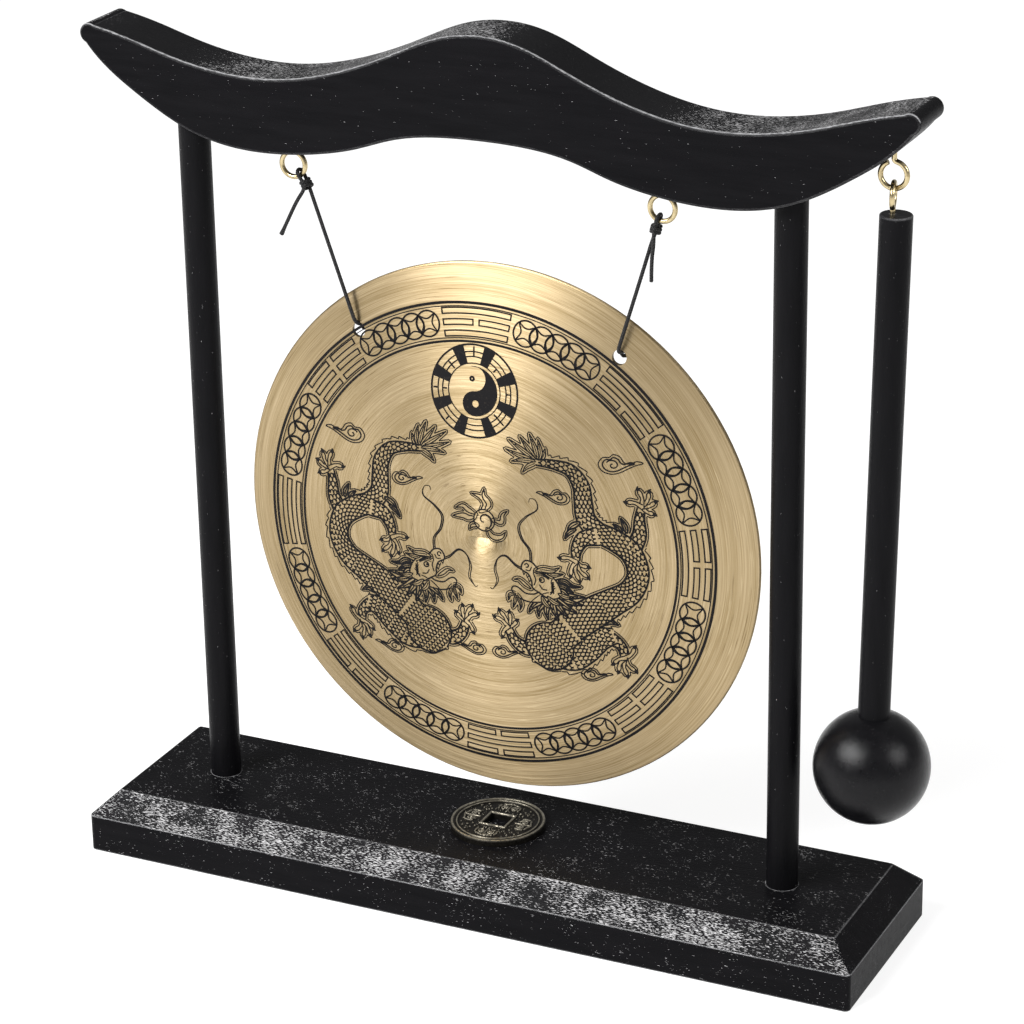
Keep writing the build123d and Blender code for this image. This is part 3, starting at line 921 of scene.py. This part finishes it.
def claw_foot(art, wrist, toes):
    """Toes from a wrist to the points given, each ending in a black claw."""
    wrist = np.array(wrist, float)
    for toe in toes:
        toe = np.array(toe, float)
        bow = np.array((-(toe - wrist)[1], (toe - wrist)[0])) * 0.12
        spine = curved([wrist, (wrist + toe) / 2 + bow, toe], 0.25)
        art.limb(spine, np.interp(np.linspace(0, 1, len(spine)), *TOE_SHAPE), 0.22)
        ahead, aside = (way[-1] for way in flat_frames(spine))
        art.line([toe - ahead * 0.35, toe + ahead * 0.45, toe + ahead + aside * 0.35], 0.75,
                 start=0.7, end=0.15)


def dragon():
    """The left-hand dragon, from its tail tuft to its head, nearest parts last."""
    art = Drawing()
    # tail tuft
    for tip, bend in (((-19.6, 28.6), (-19, 26.4)), ((-17.6, 31), (-18.2, 27.6)),
                      ((-15.2, 32.2), (-16.8, 28.2)), ((-12.4, 31.2), (-15.2, 27.6)),
                      ((-9.2, 30.2), (-13.4, 27.4)), ((-8.2, 27.4), (-12.2, 26)),
                      ((-9.8, 24.2), (-13, 24.8)), ((-13, 21.4), (-14.6, 23.2))):
        art.leaf([(-17.6, 24.7), bend, tip], 1.25, 0.22)
    # far limbs
    scaly(art, [(-43.2, 2.6), (-45.2, 7), (-45.4, 11.2), (-45.9, 14.6)], [4.6, 4, 3, 2])
    claw_foot(art, (-46.1, 15), [(-49.4, 13.2), (-49.8, 16.6), (-48.2, 19.2), (-45.2, 19.6), (-42, 15.9)])
    art.leaf([(-41.8, 7.2), (-41.4, 9), (-40.2, 11.4)], 1.3)
    art.leaf([(-40.6, 7), (-39.6, 8.4), (-38, 9.6)], 1.2)
    # lower coil and its limbs
    scaly(art, [(-31.5, -22.2), (-36, -23.6), (-38.8, -25.8), (-39.4, -28.6)], [5.4, 4.2, 3, 2.2])
    claw_foot(art, (-39.5, -29),
              [(-42.4, -25.6), (-42.2, -32.6), (-39.8, -34.2), (-37.4, -33.2), (-36.2, -31)])
    scaly(art, [(-14, -28.6), (-11, -29.4), (-8, -27.6), (-6.4, -24.2)], [4.8, 4.2, 3, 2.2])
    claw_foot(art, (-6.2, -23.8), [(-9, -21.6), (-7, -19.4), (-4.2, -19.2), (-2.6, -21.2), (-4.4, -26.8)])
    scaly(art, [(-37, -22.6), (-32.6, -24.2), (-28.4, -27.2), (-24, -29.8), (-20, -30)],
          [4.4, 6.8, 8.6, 9.6, 8], spiky=True)
    art.leaf([(-33.4, -19.8), (-36, -18.6), (-38.4, -19.4)], 1.5)
    art.leaf([(-31.6, -18.8), (-34, -17.2), (-36.2, -17.4)], 1.4)
    # the long body, tail first
    scaly(art, [(-17, 24.6), (-22, 24.4), (-26.6, 23.2), (-29.4, 19.4), (-30, 14.8),
                (-30.6, 10.4), (-33.6, 7), (-38.2, 5), (-42.2, 2.4), (-44.2, -1.4),
                (-44.2, -5.6), (-41.6, -9.8), (-36.8, -13), (-31.8, -16.2), (-27, -19.6),
                (-22.6, -23)],
          [1.6, 2.4, 3.4, 4.6, 5, 5.4, 5.8, 6.2, 6.4, 6, 6, 6.6, 7.4, 8.4, 9, 9.2, 8.6], spiky=True)
    bulb = np.linspace(0, 15.9, 16)
    round_half = np.sqrt(np.maximum(49.0 - (bulb - 8.9) ** 2, 0.04))
    widths = 2 * np.where(bulb < 6, np.maximum(round_half, 4.5), round_half)
    scaly(art, [(-24.5, -22), (-20.6, -25.6), (-16.8, -29.4), (-13.1, -33)], widths)
    # middle limb
    scaly(art, [(-33.6, 5.6), (-29.6, 4.4), (-27.6, 1.2), (-27.3, -1.8)], [5, 4.2, 3.2, 2])
    claw_foot(art, (-27.3, -2.2), [(-30.6, -3.4), (-30.4, -6.4), (-28, -7.6), (-25.6, -6.4), (-22.9, -1.6)])
    art.leaf([(-29, 9.2), (-26.4, 7.6), (-25.2, 5.8)], 1.5)
    art.leaf([(-27.8, 7.2), (-25.6, 5.8), (-24.4, 4)], 1.2)
    head(art)
    return art


def head(art):
    """The dragon's head, in profile, facing the pearl."""
    # whiskers
    for shift in (0, 0.5):
        art.line([(-14.6 + shift, -4.2), (-14.4 + shift, -0.4), (-12.3 + shift, 2.6), (-11.6 + shift, 6.2),
                  (-13.8 + shift, 9), (-16.9 + shift * 0.4, 11.4), (-16.5, 13.9), (-14.9, 14.3),
                  (-14.5, 13.2)], 0.24, end=0.5)
        art.line([(-12.2, -6.6 + shift), (-9.8, -5.4 + shift), (-7, -3.0 + shift * 0.6), (-4.7, -3.9),
                  (-3.4 - shift, -7), (-3.9 - shift, -10.4), (-2.6, -13), (-1.9, -12.6)], 0.24, end=0.5)
    # mane, back to front
    for tip, bend in (((-29.4, -12.2), (-25.6, -12.4)), ((-28.6, -14.6), (-25.2, -14.2)),
                      ((-26.8, -17), (-24, -15.8)), ((-24.2, -18.8), (-22.2, -16.6)),
                      ((-21.4, -19.8), (-20.2, -17)), ((-18.4, -20.2), (-18, -17.2)),
                      ((-15.6, -19.6), (-16, -17)), ((-12.8, -18.6), (-14.2, -16.6))):
        art.leaf([(-19.4, -12.6), bend, tip], 1.7)
    # antlers and ear
    art.leaf([(-20.4, -8.6), (-23.6, -8.2), (-25.8, -9.4), (-28.4, -9.4)], 1.2)
    art.leaf([(-20.8, -9.6), (-23.6, -10), (-26.2, -11.4)], 1.2)
    art.leaf([(-20.8, -11.2), (-23.2, -11.4), (-25, -13.2)], 1.5)
    # lower jaw and beard
    jaw = [(-16.8, -12.2), (-14.6, -13), (-12.2, -13), (-10.2, -11.6), (-8.8, -11.4), (-8.2, -12.6),
           (-9.6, -14.2), (-12.6, -15.4), (-16.2, -15.2), (-18.8, -14.2)]
    art.shape(jaw, 0.28)
    for tip, bend in (((-8.2, -17.8), (-9, -15.4)), ((-10.2, -18.4), (-10.6, -16.4)),
                      ((-7, -15.8), (-7.6, -14))):
        art.leaf([(-9.4, -13.6), bend, tip], 0.9, 0.22)
    # skull, snout and cheek
    skull = [(-22.6, -11.6), (-21.4, -8.6), (-19.2, -6.6), (-17.4, -6.5), (-16, -5.2), (-14.6, -3.8),
             (-12.8, -3.5), (-11.7, -4.6), (-11.5, -6.2), (-13.4, -7.4), (-14.2, -9.4), (-14.4, -11.2),
             (-16.2, -12.4), (-18.8, -13.8), (-21.6, -13.4)]
    art.shape(skull, 0.3)
    art.arc((-13, -4.9), 0.55, 0, 300, 0.24)
    art.line([(-14.4, -5.2), (-13.8, -6.3), (-12.6, -6.2)], 0.2)
    for spine, fat in (([(-18.4, -13.2), (-20.4, -14.8), (-23, -15.4)], 1.3),
                       ([(-16.8, -13.2), (-17.8, -15.4), (-20, -17)], 1.3),
                       ([(-21.6, -12), (-23.8, -12.8), (-26.2, -12.6)], 1.2),
                       ([(-15.4, -6.2), (-17.6, -5.6), (-20.4, -5.6), (-22.6, -4.4)], 1.4),
                       ([(-18.8, -6.6), (-20.8, -6.8), (-23.6, -6.2)], 1.1)):
        art.leaf(spine, fat, 0.24)
    for turn in (-0.5, 0, 0.5):
        art.line([(-20.6, -9.4 - turn), (-19.9, -10.6 - turn), (-20.5, -11.8 - turn)], 0.2)
    art.line([(-15.2, -5.4), (-14.9, -7), (-15.4, -8.6), (-14.9, -10.4)], 0.22)
    # eye and brow
    art.arc((-17.2, -8.6), 0.72, 0, 360, 0.26)
    art.fill(circle((-17, -8.6), 0.32, 0, 360, 12))
    for rise in (0, 0.55, 1.1):
        art.line([(-19.3, -8.2 + rise * 0.5), (-17.6, -7.4 + rise * 0.7), (-15.6, -7.6 + rise)],
                 0.24, end=0.4)
    art.line([(-19.8, -9), (-20.4, -11), (-19.4, -12.6)], 0.26)
    art.line([(-16.4, -10), (-17.2, -11.2), (-18.6, -11.4)], 0.22)
    # teeth and tongue
    for u, v in ((-12.2, -6.9), (-13.2, -7.7), (-13.7, -8.8)):
        art.line([(u - 0.35, v + 0.1), (u + 0.15, v - 0.85), (u + 0.45, v + 0.2)], 0.18, smooth=False)
    art.leaf([(-14, -11.6), (-12.2, -10.4), (-10.6, -9.2), (-9, -9.4)], 0.9, 0.22, vein=False)


def print_face():
    """All the printed pieces of the face."""
    band_lines().piece("print_band_lines")
    for k in range(8):
        sign_block(45 * k, SIGNS[k]).piece(f"print_sign_{k + 1}")
        ring_chain(45 * k + 22.5).piece(f"print_ring_chain_{k + 1}")
    emblem().piece("print_emblem")
    pearl().silhouette(0.55).heavier().piece("print_pearl")
    left = dragon().silhouette(0.62).heavier()
    left.piece("print_dragon_left")
    left.mirrored().piece("print_dragon_right")
    clouds = Drawing()
    for centre, size, way in (((-38.4, 25.8), 1.75, -1), ((-23.2, 15.4), 1.35, 1),
                              ((-3.9, -31.7), 1.3, -1), ((-29.6, -35.2), 1.3, -1)):
        cloud(clouds, centre, size, way)
    clouds.heavier().piece("print_clouds_left")
    clouds.mirrored().piece("print_clouds_right")


print_face()


# ---- coin medallion
COIN_HOLE = 3.2                 # half the side of the square hole
COIN_PIPS, COIN_DENTS = 150, 60
COIN_RIM, COIN_HOLE_RIM = 1.5, 0.9
COIN_STEPS_AROUND, COIN_STEPS_ACROSS = 480, 84


def coin_marks():
    """Generic raised ornament of the field: scrolls, sprays and dots, in millimetres from the middle."""
    strokes = []
    for way in (-1, 1):
        scroll = [(way * (1.25 + r * cos(t)), 7.6 + r * sin(t)) for t, r in
                  zip(np.linspace(-1.4, 6.4, 15), np.linspace(1.15, 0.15, 15))]
        strokes.append(scroll)
        strokes.append([(way * 0.35, 9.9), (way * 1.3, 9.5), (way * 2.3, 9.2)])
        strokes.append([(way * 2.9, 8.6), (way * 3.1, 7.6), (way * 2.9, 6.6)])
    strokes.append([(0, 5.4), (0, 9.6)])
    marks = []
    for quarter in range(4):
        turn = pi / 2 * quarter
        for stroke in strokes:
            turned = [(u * cos(turn) - v * sin(turn), u * sin(turn) + v * cos(turn)) for u, v in stroke]
            marks += list(zip(turned, turned[1:]))
        diagonal = turn + pi / 4
        for reach in (7.1, 8.6, 10.1):
            for side in (-0.11, 0.11):
                spot = around((0, 0), reach, diagonal + side)
                marks.append((spot, (spot[0] + 0.01, spot[1])))
    return marks


def ridge(away, half, slope):
    """Height of a rounded ridge, by the distance from its middle."""
    return np.clip((half - away) / slope, 0, 1)


def coin():
    """The coin: a square hole with a raised edge, a raised rim and marks standing from a sunk field."""
    low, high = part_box("coin_medallion")
    centre = (low + high) / 2 / MM
    radius = (high.x - low.x) / 2 / MM
    top, bottom = high.z / MM, low.z / MM
    marks = [(np.array(a), np.array(b)) for a, b in coin_marks()]
    random = np.random.default_rng(7)
    dents = random.uniform(-radius, radius, (COIN_DENTS, 2))
    pips = [r * np.array((cos(t), sin(t))) for r, t in
            zip(random.uniform(COIN_HOLE + 1.8, radius - 2.6, COIN_PIPS),
                random.uniform(0, 2 * pi, COIN_PIPS))]

    def height(p):
        """Height of the coin's top at the points."""
        far = np.hypot(p[:, 0], p[:, 1])
        square = np.maximum(abs(p[:, 0]), abs(p[:, 1]))
        plateau = 0.35 * np.clip((far - (radius - COIN_RIM)) / 0.25, 0, 1)
        rim = ridge(abs(far - (radius - 0.5)), 0.42, 0.16)
        fine = ridge(abs(far - (radius - COIN_RIM - 0.3)), 0.30, 0.14) * 0.95
        edge = ridge(abs(square - (COIN_HOLE + COIN_HOLE_RIM / 2)), 0.42, 0.16)
        up = np.maximum.reduce([plateau, rim, edge, fine])
        for pip in pips:
            up = np.maximum(up, 0.8 * ridge(np.hypot(*(p - pip).T), 0.20, 0.1))
        for start, end in marks:
            d = end - start
            t = np.clip(((p - start) @ d) / (d @ d), 0, 1)
            away = np.linalg.norm(p - start - t[:, None] * d, axis=1)
            up = np.maximum(up, 0.85 * ridge(away, 0.36, 0.16))
        worn = sum(0.05 * np.exp(-((p - dent) ** 2).sum(1) / 0.12) for dent in dents)
        bevel = 0.16 * np.clip((far - (radius - 0.3)) / 0.3, 0, 1) ** 2
        return top - COIN_RELIEF * (1 - up) - worn - bevel

    angles = np.linspace(0, 2 * pi, COIN_STEPS_AROUND, endpoint=False) + pi / 4
    way = np.stack([np.cos(angles), np.sin(angles)], 1)
    inner = way * (COIN_HOLE / np.maximum(abs(way[:, 0]), abs(way[:, 1])))[:, None]
    outer = way * radius
    points = []
    for share in np.linspace(0, 1, COIN_STEPS_ACROSS):
        ring = inner + (outer - inner) * share
        for (x, y), z in zip(ring, height(ring)):
            points.append((centre.x + x, centre.y + y, z))
    for ring in (outer, inner):
        for x, y in ring:
            points.append((centre.x + x, centre.y + y, bottom))
    faces = [(a, d, c, b) for a, b, c, d in ring_faces(COIN_STEPS_ACROSS + 2, COIN_STEPS_AROUND, wrap=True)]
    made = mesh_object("struck_coin", np.array(points) * MM, faces, coin_metal, smooth=False)
    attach(made, "stand")
    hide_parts("coin_medallion")


coin()


# ---- floor, lights and world
LIGHT_DISTANCE = 1.3
FLOOR_SIDE = 6.0
FLOOR_GLOW = 0.75
SURROUND_LIGHT = 0.32           # how bright the white surround is for all but the camera


def area_light(name, direction, size, watts):
    """A soft box aimed at the gong from a direction."""
    data = bpy.data.lights.new(name, "AREA")
    data.shape = "RECTANGLE"
    data.size, data.size_y = size
    data.energy = watts
    light = bpy.data.objects.new(name, data)
    way = Vector(direction).normalized()
    light.location = CAMERA_TARGET + way * LIGHT_DISTANCE
    light.rotation_mode = "QUATERNION"
    light.rotation_quaternion = (-way).to_track_quat("-Z", "Y")
    bpy.context.scene.collection.objects.link(light)


def make_stage():
    """A pale floor under soft light, with a white surround."""
    floor_look = Look("pale_floor", Roughness=0.9, Specular_IOR_Level=0.05)
    floor_look.shader.inputs["Emission Color"].default_value = (1, 1, 1, 1)
    floor_look.shader.inputs["Emission Strength"].default_value = FLOOR_GLOW
    tone = floor_look.noise(0.02, 2.0)
    material = floor_look.finish(floor_look.mix(tone, (0.40, 0.40, 0.40), (0.43, 0.43, 0.43)))
    corners = [(x * FLOOR_SIDE, y * FLOOR_SIDE, 0) for x, y in ((-1, -1), (1, -1), (1, 1), (-1, 1))]
    floor = mesh_object("floor", corners, [(0, 1, 2, 3)], material)
    area_light("key", (-0.42, -0.67, 0.62), (0.9, 0.5), 31)
    area_light("side", (0.87, -0.08, 0.48), (0.35, 0.45), 7)
    world = bpy.data.worlds.new("surround")
    world.use_nodes = True
    tree = world.node_tree
    background = tree.nodes["Background"]
    background.inputs["Color"].default_value = (1, 1, 1, 1)
    path = tree.nodes.new("ShaderNodeLightPath")
    strength = tree.nodes.new("ShaderNodeMapRange")
    strength.inputs["To Min"].default_value = SURROUND_LIGHT
    strength.inputs["To Max"].default_value = 1.0
    tree.links.new(path.outputs["Is Camera Ray"], strength.inputs["Value"])
    tree.links.new(strength.outputs["Result"], background.inputs["Strength"])
    bpy.context.scene.world = world
    bpy.context.scene.view_settings.view_transform = "Standard"


make_stage()
